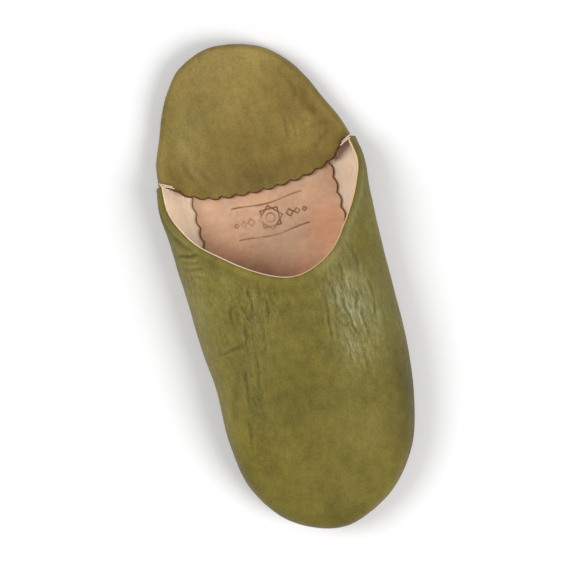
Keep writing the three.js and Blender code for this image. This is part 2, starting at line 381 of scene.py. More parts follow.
def colour(red, green, blue):
    """An sRGB colour from 0-255 values as the linear numbers that a shader takes."""
    share = np.array([red, green, blue]) / 255
    return np.where(share <= 0.04045, share / 12.92, ((share + 0.055) / 1.055) ** 2.4)


def material_base(name, roughness, specular=0.5):
    material = bpy.data.materials.new(name)
    material.use_nodes = True
    tree = material.node_tree
    shader = tree.nodes["Principled BSDF"]
    shader.inputs["Roughness"].default_value = roughness
    shader.inputs["Specular IOR Level"].default_value = specular
    place = node(tree, "ShaderNodeTexCoord").outputs["Object"]
    return material, tree, shader, place


def noise_node(tree, place, scale, detail=4.0, stretch=(1, 1, 1), roughness=0.55):
    mapped = node(tree, "ShaderNodeMapping", {"Vector": place, "Scale": stretch})
    texture = node(
        tree,
        "ShaderNodeTexNoise",
        {"Vector": mapped.outputs["Vector"], "Scale": scale, "Detail": detail, "Roughness": roughness},
    )
    return texture.outputs["Fac"]


def ramp_node(tree, value, low, high, to_low=0.0, to_high=1.0):
    made = node(
        tree,
        "ShaderNodeMapRange",
        {"Value": value, "From Min": low, "From Max": high, "To Min": to_low, "To Max": to_high},
        interpolation_type="SMOOTHSTEP",
    )
    return made.outputs["Result"]


def math_node(tree, operation, a, b=0.0):
    return node(tree, "ShaderNodeMath", {0: a, 1: b}, operation=operation).outputs[0]


def mix_node(tree, factor, a, b, blend="MIX"):
    made = node(tree, "ShaderNodeMix", data_type="RGBA", blend_type=blend)
    for index, value in ((0, factor), (6, a), (7, b)):
        if isinstance(value, bpy.types.NodeSocket):
            tree.links.new(value, made.inputs[index])
        else:
            made.inputs[index].default_value = value
    return made.outputs[2]


def attribute_node(tree, name, output="Fac"):
    return node(tree, "ShaderNodeAttribute", attribute_name=name).outputs[output]


def bump_node(tree, height, strength, distance, below=None):
    values = {"Height": height, "Strength": strength, "Distance": distance}
    if below is not None:
        values["Normal"] = below
    return node(tree, "ShaderNodeBump", values).outputs["Normal"]


def rgba(linear):
    return (*[float(x) for x in linear], 1.0)


def leather_grain(tree, place, cell, strength, below=None):
    """Bump of fine broken grain with cells of about the given size in metres."""
    warp = noise_node(tree, place, 1.3 / cell, 2)
    shift = node(tree, "ShaderNodeVectorMath", {0: warp, 1: (0.4 * cell,) * 3}, operation="MULTIPLY")
    moved = node(
        tree,
        "ShaderNodeVectorMath",
        {0: place, 1: warp, 2: shift.outputs[0]},
        operation="MULTIPLY_ADD",
    )
    cells = node(
        tree,
        "ShaderNodeTexVoronoi",
        {"Vector": moved.outputs[0], "Scale": 1 / cell, "Smoothness": 0.6},
        feature="SMOOTH_F1",
    )
    pebbles = ramp_node(tree, cells.outputs["Distance"], 0.05, 0.75, 1.0, 0.0)
    fine = noise_node(tree, place, 3 / cell, 3)
    height = math_node(tree, "ADD", pebbles, math_node(tree, "MULTIPLY", fine, 0.5))
    return bump_node(tree, height, strength, 0.12 * cell, below)


def crackle(tree, place, scale, width):
    """1 along thin wandering lines that run lengthwise, 0 between them."""
    wave = noise_node(tree, place, scale, 3, (1, 0.2, 0.6), 0.5)
    off_line = math_node(tree, "ABSOLUTE", math_node(tree, "SUBTRACT", wave, 0.5))
    return ramp_node(tree, off_line, 0.0, width, 1.0, 0.0)


MOTTLE = [  # scale, low and high end of the ramp, share of the tone
    (55, 0.3, 0.7, 0.28),
    (230, 0.3, 0.7, 0.30),
    (1300, 0.3, 0.7, 0.42),
]
DYE_DARKER = (0.66, 0.68, 0.58, 1)
DYE_LIGHTER = (1.30, 1.28, 1.34, 1)
CRACK_SHADE = (0.56, 0.56, 0.48, 1)
SHEEN_PAINT_COLOUR = (0.42, 0.42, 0.27, 1)


def olive_leather():
    """Waxed olive leather: painted low tones with painted light and shade, mottled dye, fine grain,
    crackle, a painted sheen and dark cut edges.
    """
    material, tree, shader, place = material_base("olive_leather", 0.5, 0.15)
    paint = attribute_node(tree, "paint", "Color")
    tone = 0.0
    for scale, low, high, share in MOTTLE:
        layer = ramp_node(tree, noise_node(tree, place, scale, 4, (1, 0.8, 1)), low, high)
        tone = math_node(tree, "ADD", tone, math_node(tree, "MULTIPLY", layer, share))
    darker = mix_node(tree, 1.0, paint, DYE_DARKER, "MULTIPLY")
    lighter = mix_node(tree, 1.0, paint, DYE_LIGHTER, "MULTIPLY")
    dye_and_painted_light = mix_node(tree, tone, darker, lighter)

    wrinkle = attribute_node(tree, "wrinkle")
    coarse, close = crackle(tree, place, 380, 0.032), crackle(tree, place, 800, 0.045)
    lines = math_node(tree, "MULTIPLY", math_node(tree, "MAXIMUM", coarse, close), wrinkle)
    in_lines = mix_node(tree, 1.0, dye_and_painted_light, CRACK_SHADE, "MULTIPLY")
    dye_and_painted_light = mix_node(tree, lines, dye_and_painted_light, in_lines)

    # painted sheen: a pale greyish colour mixed in where the surface shines
    streaks = ramp_node(tree, noise_node(tree, place, 700, 3, (1, 0.25, 1)), 0.35, 0.7, 0.5, 1.7)
    haze = math_node(tree, "MULTIPLY", attribute_node(tree, "haze"), streaks)
    dye_and_painted_light = mix_node(tree, haze, dye_and_painted_light, SHEEN_PAINT_COLOUR)

    rim = attribute_node(tree, "rim")
    ragged = math_node(tree, "MULTIPLY", math_node(tree, "SUBTRACT", tone, 0.5), 0.4)
    cut = ramp_node(tree, math_node(tree, "ADD", rim, ragged), 0.35, 0.75)
    fibres = ramp_node(tree, noise_node(tree, place, 1500, 4, roughness=0.65), 0.35, 0.7)
    raw = mix_node(tree, fibres, rgba(colour(66, 38, 22)), rgba(colour(116, 76, 44)))
    dye_and_painted_light = mix_node(tree, cut, dye_and_painted_light, raw)
    tree.links.new(dye_and_painted_light, shader.inputs["Base Color"])

    worn = ramp_node(tree, noise_node(tree, place, 420, 4), 0.35, 0.65, 0.46, 0.6)
    polish = math_node(tree, "MULTIPLY", attribute_node(tree, "gloss"), 0.2)
    tree.links.new(math_node(tree, "SUBTRACT", worn, polish), shader.inputs["Roughness"])
    shader.inputs["Sheen Weight"].default_value = 0.01
    shader.inputs["Sheen Roughness"].default_value = 0.5

    cracked = bump_node(tree, math_node(tree, "MULTIPLY", lines, -1.0), 0.6, 0.0003)
    grained = leather_grain(tree, place, 0.0008, 0.4, cracked)
    tree.links.new(grained, shader.inputs["Normal"])
    return material


def natural_leather(name, cell, roughness, blotch):
    """Undyed leather: painted low tones, soft blotches, faint fibres and a close grain."""
    material, tree, shader, place = material_base(name, roughness, 0.25)
    paint = attribute_node(tree, "paint", "Color")
    clouds = ramp_node(tree, noise_node(tree, place, 45, 5, roughness=0.6), 0.3, 0.72)
    fibres = ramp_node(tree, noise_node(tree, place, 900, 4, (1, 0.35, 1)), 0.3, 0.7)
    deeper = mix_node(tree, 1.0, paint, blotch, "MULTIPLY")
    toned = mix_node(tree, clouds, deeper, paint)
    fibred = mix_node(tree, 1.0, toned, (0.93, 0.92, 0.90, 1), "MULTIPLY")
    tree.links.new(mix_node(tree, fibres, fibred, toned), shader.inputs["Base Color"])
    rough = ramp_node(tree, clouds, 0, 1, roughness + 0.05, roughness - 0.05)
    tree.links.new(rough, shader.inputs["Roughness"])
    tree.links.new(leather_grain(tree, place, cell, 0.25), shader.inputs["Normal"])
    return material


def thread_material():
    material, tree, shader, place = material_base("waxed_thread", 0.55, 0.3)
    twist = noise_node(tree, place, 2600, 2)
    low, high = rgba(colour(196, 178, 146)), rgba(colour(232, 220, 196))
    tinted = mix_node(tree, ramp_node(tree, twist, 0.3, 0.7), low, high)
    tree.links.new(tinted, shader.inputs["Base Color"])
    tree.links.new(bump_node(tree, twist, 0.4, 0.0001), shader.inputs["Normal"])
    return material


def floor_material():
    material, tree, shader, place = material_base("floor", 0.9, 0.1)
    grain = noise_node(tree, place, 8, 3)
    tinted = mix_node(tree, grain, (0.80, 0.80, 0.805, 1), (0.82, 0.82, 0.82, 1))
    tree.links.new(tinted, shader.inputs["Base Color"])
    return material


# ---------------------------------------------------------------------------- creases and colours
# Each crease is a soft trough with a ridge on both sides, along a path of places on the leather. A row
# holds the path, the width of the trough and its depth, all in millimetres.
VAMP_CREASES = [
    ([(-53, 28), (-46, 27), (-39, 24.5)], 0.9, 0.6),
    ([(-51, 39), (-47, 33), (-41, 27.5)], 1.3, 0.3),
    ([(-50, 24), (-45, 23), (-40, 21)], 0.7, 0.25),
    ([(-49, 20), (-43, 19), (-37, 17)], 0.8, 0.25),
    ([(-47, 15), (-42, 14.5), (-38, 12)], 0.9, 0.18),
    ([(-44, -27), (-35, -27), (-26.5, -25.5)], 0.8, 0.28),
    ([(-18.5, 6), (-19, -5), (-19.5, -13)], 0.6, 0.35),
    ([(-15, 3), (-11.2, -7.3), (-11.6, -14), (-13.6, -20)], 0.6, 0.35),
    ([(-8, 1), (-8.5, -6), (-7.5, -12)], 0.6, 0.22),
    ([(-26, -14), (-25.5, -21.5), (-28, -26)], 0.7, 0.3),
    ([(-23, 4), (-24.5, -4), (-23.5, -12)], 0.7, 0.25),
    ([(-30, -1), (-31, -10), (-30, -19)], 0.8, 0.22),
    ([(-16, -16), (-17, -26), (-20, -34)], 0.7, 0.22),
    ([(-24, -30), (-25, -42), (-27, -52)], 0.8, 0.22),
    ([(-31, -34), (-33, -46), (-35, -58)], 0.9, 0.25),
    ([(-39, -42), (-41, -52), (-43.5, -64)], 2.0, 0.22),
    ([(-36, -62), (-38, -72), (-40, -82)], 0.9, 0.22),
    ([(18.3, -8), (17.8, -23), (16, -38)], 0.6, 0.35),
    ([(22, -2), (23.5, -12), (22.5, -22)], 0.6, 0.25),
    ([(26.5, -9), (28.3, -25), (29.5, -33.5), (25, -38)], 0.6, 0.4),
    ([(33, -3), (34.5, -14), (33, -27)], 0.7, 0.28),
    ([(36, -20), (35, -30), (37, -41)], 0.7, 0.28),
    ([(41.5, -4), (42.8, -20), (40, -35)], 0.8, 0.25),
    ([(23, -34), (24, -42), (21.5, -50)], 0.7, 0.25),
    ([(31, -40), (30, -48), (32, -56)], 0.8, 0.2),
    ([(38, 12), (39, 2), (38, -6)], 0.8, 0.2),
    ([(30, 6), (31, -1), (29.5, -8)], 0.7, 0.22),
]
QUARTER_CREASES = [
    ([(27, 106), (29, 97), (26, 90)], 1.1, 0.13),
    ([(31, 96), (33, 87), (39, 79)], 1.5, 0.11),
    ([(24, 87), (25, 80), (24, 72)], 0.8, 0.14),
    ([(20, 88), (20.5, 80), (19, 73)], 0.8, 0.12),
    ([(29, 84), (30, 77), (28, 70)], 0.8, 0.10),
    ([(-33, 90), (-29, 82), (-27, 76)], 1.8, 0.12),
    ([(-32, 74), (-28, 66), (-25, 60)], 1.2, 0.15),
    ([(-38, 76), (-36, 69), (-33, 63)], 1.3, 0.15),
    ([(44, 72), (37, 70), (30, 64)], 1.3, 0.16),
    ([(44, 76), (35, 78), (28, 74)], 1.3, 0.12),
]


def crease_relief(x, y, creases):
    """Height of the creases above the smooth leather, in millimetres."""
    bent_x = x + cloudy(x, y, [(0.8, 5, 5, 11), (0.3, 1.6, 1.6, 13)])
    bent_y = y + cloudy(x, y, [(0.8, 5, 5, 12), (0.3, 1.6, 1.6, 14)])
    total = np.zeros(np.shape(x))
    for path, width, depth in creases:
        distance, share = distance_to_path(bent_x, bent_y, path)
        taper = smoothstep(share, -0.001, 0.3) * (1 - smoothstep(share, 0.7, 1.001))
        trough = -np.exp(-((distance / width) ** 2))
        ridge = 0.45 * np.exp(-(((distance - 2.1 * width) / (1.1 * width)) ** 2))
        total += depth * taper * (trough + ridge)
    return total


def blob(x, y, centre_x, centre_y, half_width, half_length):
    """1 at a place on the leather, falling softly to 0 around it."""
    return np.exp(-(((x - centre_x) / half_width) ** 2) - ((y - centre_y) / half_length) ** 2)


# Soft areas of tone on each olive piece: place and size in millimetres, lightness as a share of the
# base colour, with painted light and shade as well as the leather's own tone, warmth, which turns olive
# green towards brown, and the strength of the painted greyish sheen.
TONES = "x y half_width half_length lightness warmth haze".split()
VAMP_TONES = [
    # painted light: the lateral side is made lighter
    [-46, 6, 8, 34, 0.40, 0.00, 0.10],
    [-46, -40, 8, 24, 0.24, 0.05, 0.03],
    [-45, -66, 6, 14, 0.26, 0.05, 0.01],
    [-27, 6, 10, 14, 0.34, 0.00, 0.05],
    [-16, -16, 9, 20, 0.18, 0.00, 0.05],
    [-28, -30, 8, 12, 0.00, 0.05, 0.03],
    [0, -10, 10, 12, 0.00, 0.05, 0.01],
    # painted highlight: the shiny patch on the medial slope
    [30, -20, 11, 23, 0.24, -0.05, 0.20],
    [38, -24, 9, 20, 0.04, -0.10, 0.10],
    [25, -42, 8, 10, 0.14, 0.00, 0.10],
    [11, -34, 5, 20, -0.10, 0.00, 0.00],
    [-32, -52, 8, 16, 0.05, 0.00, 0.03],
    [0, -60, 22, 12, -0.14, 0.05, 0.00],
    [24, -60, 12, 8, -0.04, -0.05, 0.02],
    [20, -84, 12, 12, 0.14, 0.00, 0.03],
    [-22, -86, 12, 12, 0.02, 0.05, 0.00],
    [4, -88, 8, 10, 0.06, 0.03, 0.00],
    [-4, -108, 16, 10, -0.02, 0.02, 0.00],
    [-44, -94, 8, 16, 0.00, 0.08, 0.00],
    # painted shade: the toe's front and the medial edge by the toe are made darker
    [0, -128, 30, 8, -0.14, 0.05, 0.00],
    [48, -64, 7, 30, -0.44, 0.05, 0.00],
    [38, -92, 10, 16, -0.26, 0.05, 0.00],
    [45, -24, 6, 20, 0.14, -0.10, 0.00],
    [40, 4, 6, 10, -0.12, 0.00, 0.00],
    [46, 30, 7, 20, 0.10, -0.05, 0.00],
]
QUARTER_TONES = [
    [2, 122, 36, 10, 0.36, 0.03, 0.06],
    [-20, 112, 12, 8, 0.06, 0.03, 0.02],
    [0, 100, 18, 12, 0.22, 0.04, 0.03],
    [-26, 98, 12, 12, 0.02, -0.22, 0.01],
    [26, 96, 7, 12, -0.12, 0.15, 0.01],
    [-34, 82, 9, 12, 0.20, -0.15, 0.05],
    [36, 80, 9, 10, 0.02, 0.30, 0.02],
    [0, 76, 16, 8, -0.08, 0.05, 0.00],
    # painted shade along the flap's scalloped front edge
    [0, 58, 38, 8, -0.24, 0.16, 0.00],
    [-26, 64, 12, 7, -0.06, -0.10, 0.01],
    [28, 64, 12, 7, -0.12, 0.15, 0.00],
    # painted highlight on the rolled lateral edge of the heel
    [-48, 80, 4, 18, 0.34, -0.10, 0.02],
]
VAMP_DYE = colour(108, 98, 38)
QUARTER_DYE = colour(124, 105, 50)
FEATHER_BROWN = colour(74, 44, 28)


def soft_sum(x, y, tones, column):
    """One column of a table of tones, added up at each place."""
    total = np.zeros(np.shape(x))
    for tone in (dict(zip(TONES, row)) for row in tones):
        total += tone[column] * blob(x, y, tone["x"], tone["y"], tone["half_width"], tone["half_length"])
    return total


def olive_paint(x, y, base, tones, relief):
    """The dye's low tones, with painted shade in the crease troughs and painted light on the ridges."""
    clouds = cloudy(x, y, [(0.06, 14, 18, 21), (0.05, 6, 7, 22), (0.04, 2.4, 3.5, 24)])
    light = soft_sum(x, y, tones, "lightness") + clouds + np.clip(relief * 1.1, -0.45, 0.18)
    warm = soft_sum(x, y, tones, "warmth") + cloudy(x, y, [(0.06, 16, 16, 23)])
    tint = np.stack([1 + 0.25 * warm, 1 - 0.02 * warm, 1 - 0.25 * warm], -1)
    return base * tint * (1 + light)[..., None]


def painted_sheen_of(x, y, tones, relief):
    """Painted sheen where the surface shines, streaky and strongest on the ridges."""
    streaks = 1 + cloudy(x, y, [(0.5, 1.3, 6, 25), (0.3, 3, 9, 26)])
    haze = soft_sum(x, y, tones, "haze") * streaks
    return np.clip(haze * (1 + np.clip(relief * 2, -0.7, 0.7)), 0, 0.6)


def browned_to_feather(dye_and_painted_light, depth):
    """Darker brown towards the feather edge; depth is how far into that band it is."""
    share = smoothstep(depth, 0, 5)[..., None]
    return (1 - share) * dye_and_painted_light + share * FEATHER_BROWN


# ------------------------------------------------------------------------------- the upper pieces
LINING = 0.8
TURN_IN = 3.5  # how far the lining runs past the foot of the wall, over the insole
LINING_COLOUR = colour(244, 221, 196)
VAMP_BAND = 7  # how far up from the feather edge the puckers and the darker brown band reach
QUARTER_BAND = 5.5
VAMP_PUCKERS = 95  # how many there are from seam to seam
QUARTER_PUCKERS = 38
WRINKLE_EVERYWHERE = 0.12
WRINKLES = [  # strength, then the place and size of a wrinkled area
    (1.0, 29, -22, 13, 30),
    (0.8, -18, -8, 14, 20),
    (0.45, -32, -55, 10, 34),
    (0.4, -44, 16, 8, 18),
]
LIP_STEPS = np.array([0.9, 0.6, 0.35, 0.17, 0.06, 0.0])  # distances of the last columns from the lip
SEAM_STEPS = np.array([0.0, 0.06, 0.17, 0.35, 0.6, 0.9])  # distances of the first ribs from the seam


def shares_round(count, length):
    """Shares of the way round for the ribs, with fine steps at both seams."""
    ends = SEAM_STEPS / length
    middle = np.linspace(ends[-1], 1 - ends[-1], count + 1)
    return np.concatenate([ends[:-1], middle, 1 - ends[-2::-1]])


def heights(under, over):
    return np.linspace(-1, 0, under + 1)[:-1], np.linspace(0, 1, over + 1)[:-1]


def edge_shares(grid, steps_from_lip, thickness):
    """How much of the leather's thickness is left near the lip and the two seams."""
    lip = edge_round(steps_from_lip, thickness / 2)
    along = run_along(grid, 0)
    seam = edge_round(np.minimum(along, along[-1:] - along), thickness / 2)
    return np.minimum(lip, seam)


def turned_in(u, under):
    """The lining's face from the insole up to the widest line, as one hollow curve."""
    rib = {name: column[:, None] for name, column in rib_at(VAMP, u).items()}
    quarter_turn = -under * np.pi / 2
    reach = rib["tuck"] + FOOT_OF_WALL + TURN_IN - LEATHER
    inset = LEATHER + reach * (1 - np.cos(quarter_turn))
    floor = INSOLE_Z + INSOLE + 0.05
    z = rib["z"] - (rib["z"] - floor) * np.sin(quarter_turn)
    edge = np.stack([rib["x"], rib["y"]], -1)
    plan = edge + inward_at(VAMP, u)[:, None, :] * inset[..., None]
    points = np.dstack([plan, z])
    points[..., 2] += spring(points[..., 1])
    return points


def vamp_form():
    """The vamp's smooth grid with its normals, distances and relief, for the leather and the lining."""
    u = shares_round(340, 480)
    under, over = heights(16, 108)
    whole = surface(VAMP, u, under, over, LIP_STEPS)
    x, y = whole[..., 0], whole[..., 1]
    up = run_along(whole, 1)
    from_lip = up[:, -1:] - up
    away = smoothstep(from_lip, 1, 8) * smoothstep(up, 3, 14)

    rolled = 0.55 * blob(from_lip, 0, 2.6, 0, 1.6, 1) - 0.5 * blob(from_lip, 0, 6.2, 0, 1.9, 1)
    rolled *= smoothstep(66 - y, 0, 8)
    creases = crease_relief(x, y, VAMP_CREASES) * smoothstep(from_lip, 0.5, 3)
    soft = cloudy(x, y, [(0.35, 17, 24, 31), (0.16, 6, 10, 32)])
    band = smoothstep(VAMP_BAND - up, 0, VAMP_BAND)
    puckers = 0.25 * np.sin(u * 2 * np.pi * VAMP_PUCKERS)[:, None] * band
    wrinkle = WRINKLE_EVERYWHERE
    for strength, *place in WRINKLES:
        wrinkle = wrinkle + strength * blob(x, y, *place)
    wrinkle = np.clip(wrinkle, 0, 1) * away
    lengthwise = noise(x / 2.1 + 0.8 * noise(x / 6, y / 9, 33), y / 10, 34)
    grooves = -np.exp(-((lengthwise / 0.22) ** 2)) * smoothstep(noise(x / 7, y / 9, 35), -0.5, 0.5)
    fine = (0.13 * grooves + 0.05 * lengthwise) * wrinkle
    return {
        "u": u,
        "under": under,
        "whole": whole,
        "normal": normals_of(whole, VAMP["inside"]),
        "up": up,
        "from_lip": from_lip,
        "rolled": rolled,
        "creases": creases,
        "fine": fine,
        "wrinkle": wrinkle,
        "relief": rolled + creases + (soft * away) + fine + puckers,
    }


def make_upper(form, olive):
    whole, relief, from_lip = form["whole"], form["relief"], form["from_lip"]
    creases, fine = form["creases"], form["fine"]
    x, y = whole[..., 0], whole[..., 1]
    shares = edge_shares(whole, from_lip, SKIN)
    lift = relief - SKIN / 2 * (1 - shares)
    sink = SKIN - SKIN / 2 * (1 - shares)
    outer = whole + form["normal"] * lift[..., None]
    inner = whole + form["normal"] * (relief - sink)[..., None]
    dye_and_painted_light = olive_paint(x, y, VAMP_DYE, VAMP_TONES, creases + form["rolled"] * 0.15 + fine * 1.5)
    # painted sheen along the rolled collar, mostly on the medial side
    rim_painted_sheen = 0.15 * blob(from_lip, y, 4.8, 24, 3.0, 26) * smoothstep(x, 16, 30)
    rim_painted_sheen += 0.06 * blob(from_lip, y, 3.5, 36, 2, 22) * smoothstep(-x, 30, 42)
    paint = {
        "paint": browned_to_feather(dye_and_painted_light, VAMP_BAND - form["up"]),
        "haze": painted_sheen_of(x, y, VAMP_TONES, creases + fine * 2) + rim_painted_sheen,
        "wrinkle": form["wrinkle"],
        "gloss": np.clip(blob(x, y, 29, -22, 13, 28) + 0.4 * blob(x, y, -44, 0, 8, 40), 0, 1),
        "rim": np.zeros(np.shape(x)),
    }
    return shell_object("upper_leather", outer, inner, [olive], paint)


def make_upper_lining(form, lining):
    """The lining behind the leather: up the wall, and in over the insole at its foot."""
    whole, up = form["whole"], form["up"]
    lined = slice(None, None, 2)  # the lining needs half as many ribs and columns
    last = range(whole.shape[1] - 5, whole.shape[1])
    columns = np.r_[np.arange(0, whole.shape[1] - 6, 2), last]
    shaped = whole + form["normal"] * (form["relief"] * smoothstep(up, 6, 16))[..., None]
    wall, out = shaped[lined][:, columns], form["normal"][lined][:, columns]
    lip_run = form["from_lip"][lined][:, columns]
    low = form["under"][::2]
    x, y = wall[..., 0], wall[..., 1]
    waves = cloudy(x, y, [(0.15, 9, 9, 41)]) * smoothstep(lip_run, 2, 8)
    along = np.gradient(wall, axis=1)
    along /= np.linalg.norm(along, axis=-1, keepdims=True)
    raw_edge = 0.35 * smoothstep(3 - lip_run, 0, 3)  # the lining stands a little past the leather
    seen = wall - out * (LEATHER + waves)[..., None] + along * raw_edge[..., None]
    seen[:, : len(low)] = turned_in(form["u"][lined], low)
    outwards = normals_of(seen, VAMP["inside"])
    shares = edge_shares(seen, lip_run, LINING)
    feather = 0.3 + 0.7 * smoothstep(run_along(seen, 1), 0, 4)
    seen = seen + outwards * (LINING / 2 * (1 - shares))[..., None]
    hidden = seen + outwards * (LINING * shares * feather)[..., None]
    raw = smoothstep(1.0 - lip_run, 0, 0.8)
    tanned = raw * smoothstep(x, -6, 14)  # the raw edge is darker on the medial side
    throat_painted_shade = 0.2 * smoothstep(20 - np.abs(x), 0, 20)  # painted shade under the throat
    shade = cloudy(x, y, [(0.05, 7, 7, 42)]) - throat_painted_shade * (1 - raw)
    tint = np.stack([1 - 0.10 * tanned, 1 - 0.22 * tanned, 1 - 0.36 * tanned], -1)
    paint = {"paint": LINING_COLOUR * tint * (1 + shade + 0.04 * raw)[..., None]}
    return shell_object("upper_lining", hidden, seen, [lining], paint)


def make_quarter(olive):
    u = shares_round(FLAP_SCALLOPS * 22, 130)
    under, over = heights(14, 84)
    whole = surface(QUARTER, u, under, over, LIP_STEPS)
    normal = normals_of(whole, QUARTER["inside"])
    x, y = whole[..., 0], whole[..., 1]
    up = run_along(whole, 1)
    from_lip = up[:, -1:] - up

    creases = crease_relief(x, y, QUARTER_CREASES) * smoothstep(from_lip, 0.5, 3)
    away = smoothstep(from_lip, 1, 8) * smoothstep(up, 3, 12)
    soft = cloudy(x, y, [(0.25, 15, 15, 51), (0.08, 5, 8, 52)])
    turned = 0.3 * blob(from_lip, 0, 0, 0, 2.5, 1)
    frayed = 0.14 * noise(x / 0.7, y / 0.7, 53) * smoothstep(1.5 - from_lip, 0, 1.5)
    band = QUARTER_BAND - up
    puckers = 0.2 * np.sin(u * 2 * np.pi * QUARTER_PUCKERS)[:, None] * smoothstep(band, 0, QUARTER_BAND)
    relief = creases + soft * away + turned + frayed + puckers
    shares = edge_shares(whole, from_lip, LEATHER)
    lift = relief - LEATHER / 2 * (1 - shares)
    sink = LEATHER - LEATHER / 2 * (1 - shares)
    outer = whole + normal * lift[..., None]
    inner = whole + normal * (relief - turned - sink)[..., None]
    paint = {
        "paint": browned_to_feather(olive_paint(x, y, QUARTER_DYE, QUARTER_TONES, creases), band),
        "haze": painted_sheen_of(x, y, QUARTER_TONES, creases),
        "wrinkle": 0.10 * away,
        "gloss": 0.3 * away,
        "rim": smoothstep(1.6 + 0.4 * noise(x / 0.9, y / 0.9, 54) - from_lip, 0, 1.3),
    }
    return shell_object("heel_quarter_leather", outer, inner, [olive], paint, QUARTER["inside"])


# --------------------------------------------------------------------------------- the sole layers
def footprint(inset):
    """The closed outline that lies a given distance inside the feather edge."""
    passes = []
    for piece, shares in ((VAMP, np.linspace(0, 1, 181)), (QUARTER, np.linspace(1, 0, 181))):
        rib = rib_at(piece, shares)
        reach = (rib["tuck"] + inset)[:, None]
        passes.append(np.stack([rib["x"], rib["y"]], -1) + inward_at(piece, shares) * reach)
    return np.concatenate(passes)


def crossings(outline, ys):
    """The least and greatest x of an outline at each y."""
    a, b = outline, np.roll(outline, -1, axis=0)
    limits = []
    for y in ys:
        cut = ((a[:, 1] - y) * (b[:, 1] - y) <= 0) & (a[:, 1] != b[:, 1])
        share = (y - a[cut, 1]) / (b[cut, 1] - a[cut, 1])
        xs = a[cut, 0] + (b[cut, 0] - a[cut, 0]) * share
        limits.append([xs.min(), xs.max()])
    return np.array(limits)


PLATE_WIDTH = 110
PLATE_EDGE_STEPS = np.array([0, 0.03, 0.1, 0.22, 0.4, 0.65])  # first columns, from the plate's edge


def round_stations(outline, count, short=0.02):
    """Places along y, closer together at both ends, from just inside one end to the other."""
    low, high = outline[:, 1].min() + short, outline[:, 1].max() - short
    return (low + high) / 2 - (high - low) / 2 * np.cos(np.linspace(0, np.pi, count + 1))


def plate_object(name, limits, ys, shares, low, high, radius, materials, painter, carve=None):
    """A flat piece between two heights, from its x limits at each y, with its edges rounded."""
    x = limits[:, :1] + (limits[:, 1:] - limits[:, :1]) * shares
    y = np.repeat(ys[:, None], len(shares), axis=1)
    rim = np.concatenate([limits[:, 0], limits[::-1, 1]])
    rim_y = np.concatenate([ys, ys[::-1]])
    path = np.stack([rim, rim_y], -1)
    distance, _ = distance_to_path(x, y, np.concatenate([path, path[:1]]))
    eased = radius * (1 - np.sqrt(1 - (1 - np.clip(distance / radius, 0, 1)) ** 2))
    top = high - eased + (carve(x, y) if carve else 0)
    lift = spring(y)
    outer = np.stack([x, y, top + lift], -1)
    inner = np.stack([x, y, low + eased + lift], -1)
    paint = {"paint": painter(x, y, distance)[::-1]}
    return shell_object(name, outer[::-1], inner[::-1], materials, paint)


def edge_crowded(count):
    """Shares across a plate, close together over the rounding at its two edges."""
    ends = PLATE_EDGE_STEPS / PLATE_WIDTH
    middle = np.linspace(2 * ends[-1], 1 - 2 * ends[-1], count + 1)
    return np.concatenate([ends, middle, 1 - ends[::-1]])


def make_outsole(material):
    outline = footprint(-SOLE_MARGIN)
    ys = round_stations(outline, 220)
    flesh, burnished = colour(186, 146, 104), colour(122, 84, 50)

    def painter(x, y, distance):
        worn = cloudy(x, y, [(0.06, 12, 20, 61), (0.04, 3, 5, 62)])
        edge = smoothstep(1.6 - distance, 0, 1.6)[..., None]
        return (flesh * (1 - edge) + burnished * edge) * (1 + worn)[..., None]

    limits, shares = crossings(outline, ys), edge_crowded(50)
    return plate_object("outsole_leather", limits, ys, shares, 0, OUTSOLE, 0.6, [material], painter)


def make_insole(material):
    outline = footprint(FOOT_OF_WALL + 0.4)
    ys = round_stations(outline, 160)

    def painter(x, y, distance):
        shade = cloudy(x, y, [(0.05, 14, 14, 71)]) - 0.05
        return LINING_COLOUR * (1 + shade)[..., None]

    limits, shares, top = crossings(outline, ys), edge_crowded(34), INSOLE_Z + INSOLE
    return plate_object("insole_leather", limits, ys, shares, INSOLE_Z, top, 0.4, [material], painter)


# A generic stamp on the sock: an eight-point star between rows of small diamonds.
STAMP_Y = 36
STAR_RADIUS = 6.5
STAMP_LINE = 0.62  # width of the stamped lines
DIAMOND_PLACES = [10.5, 14.5, 18.5]
DIAMOND_SIZES = [1.7, 1.35, 1.0]
RULE_HALF_LENGTH = 19
RULE_OFFSETS = [8.6, -8.6]
RULE_WAVE = 0.9
STAMP_REACH = 10.7  # half of the band along y that the stamp takes up
INK = colour(118, 66, 46)
SOCK_TAN = colour(198, 161, 131)
SOCK_CUT = colour(92, 52, 36)
SOCK_TONES = [  # the columns of TONES; warmth is redness here, lightness is painted light
    [2, 6, 24, 14, 0.22, 0.00, 0.00],
    [-30, 22, 10, 16, 0.28, 0.00, 0.00],
    [-22, 18, 12, 10, 0.00, 0.08, 0.00],
    [26, 22, 10, 12, 0.00, 0.25, 0.00],
    [0, 4, 30, 8, 0.00, 0.15, 0.00],
]


def square_outline(x, y, size, turn):
    """Distance from the outline of a square turned about its centre; size is from centre to side."""
    c, s = math.cos(turn), math.sin(turn)
    a, b = np.abs(c * x + s * y), np.abs(c * y - s * x)
    return np.abs(np.maximum(a, b) - size)


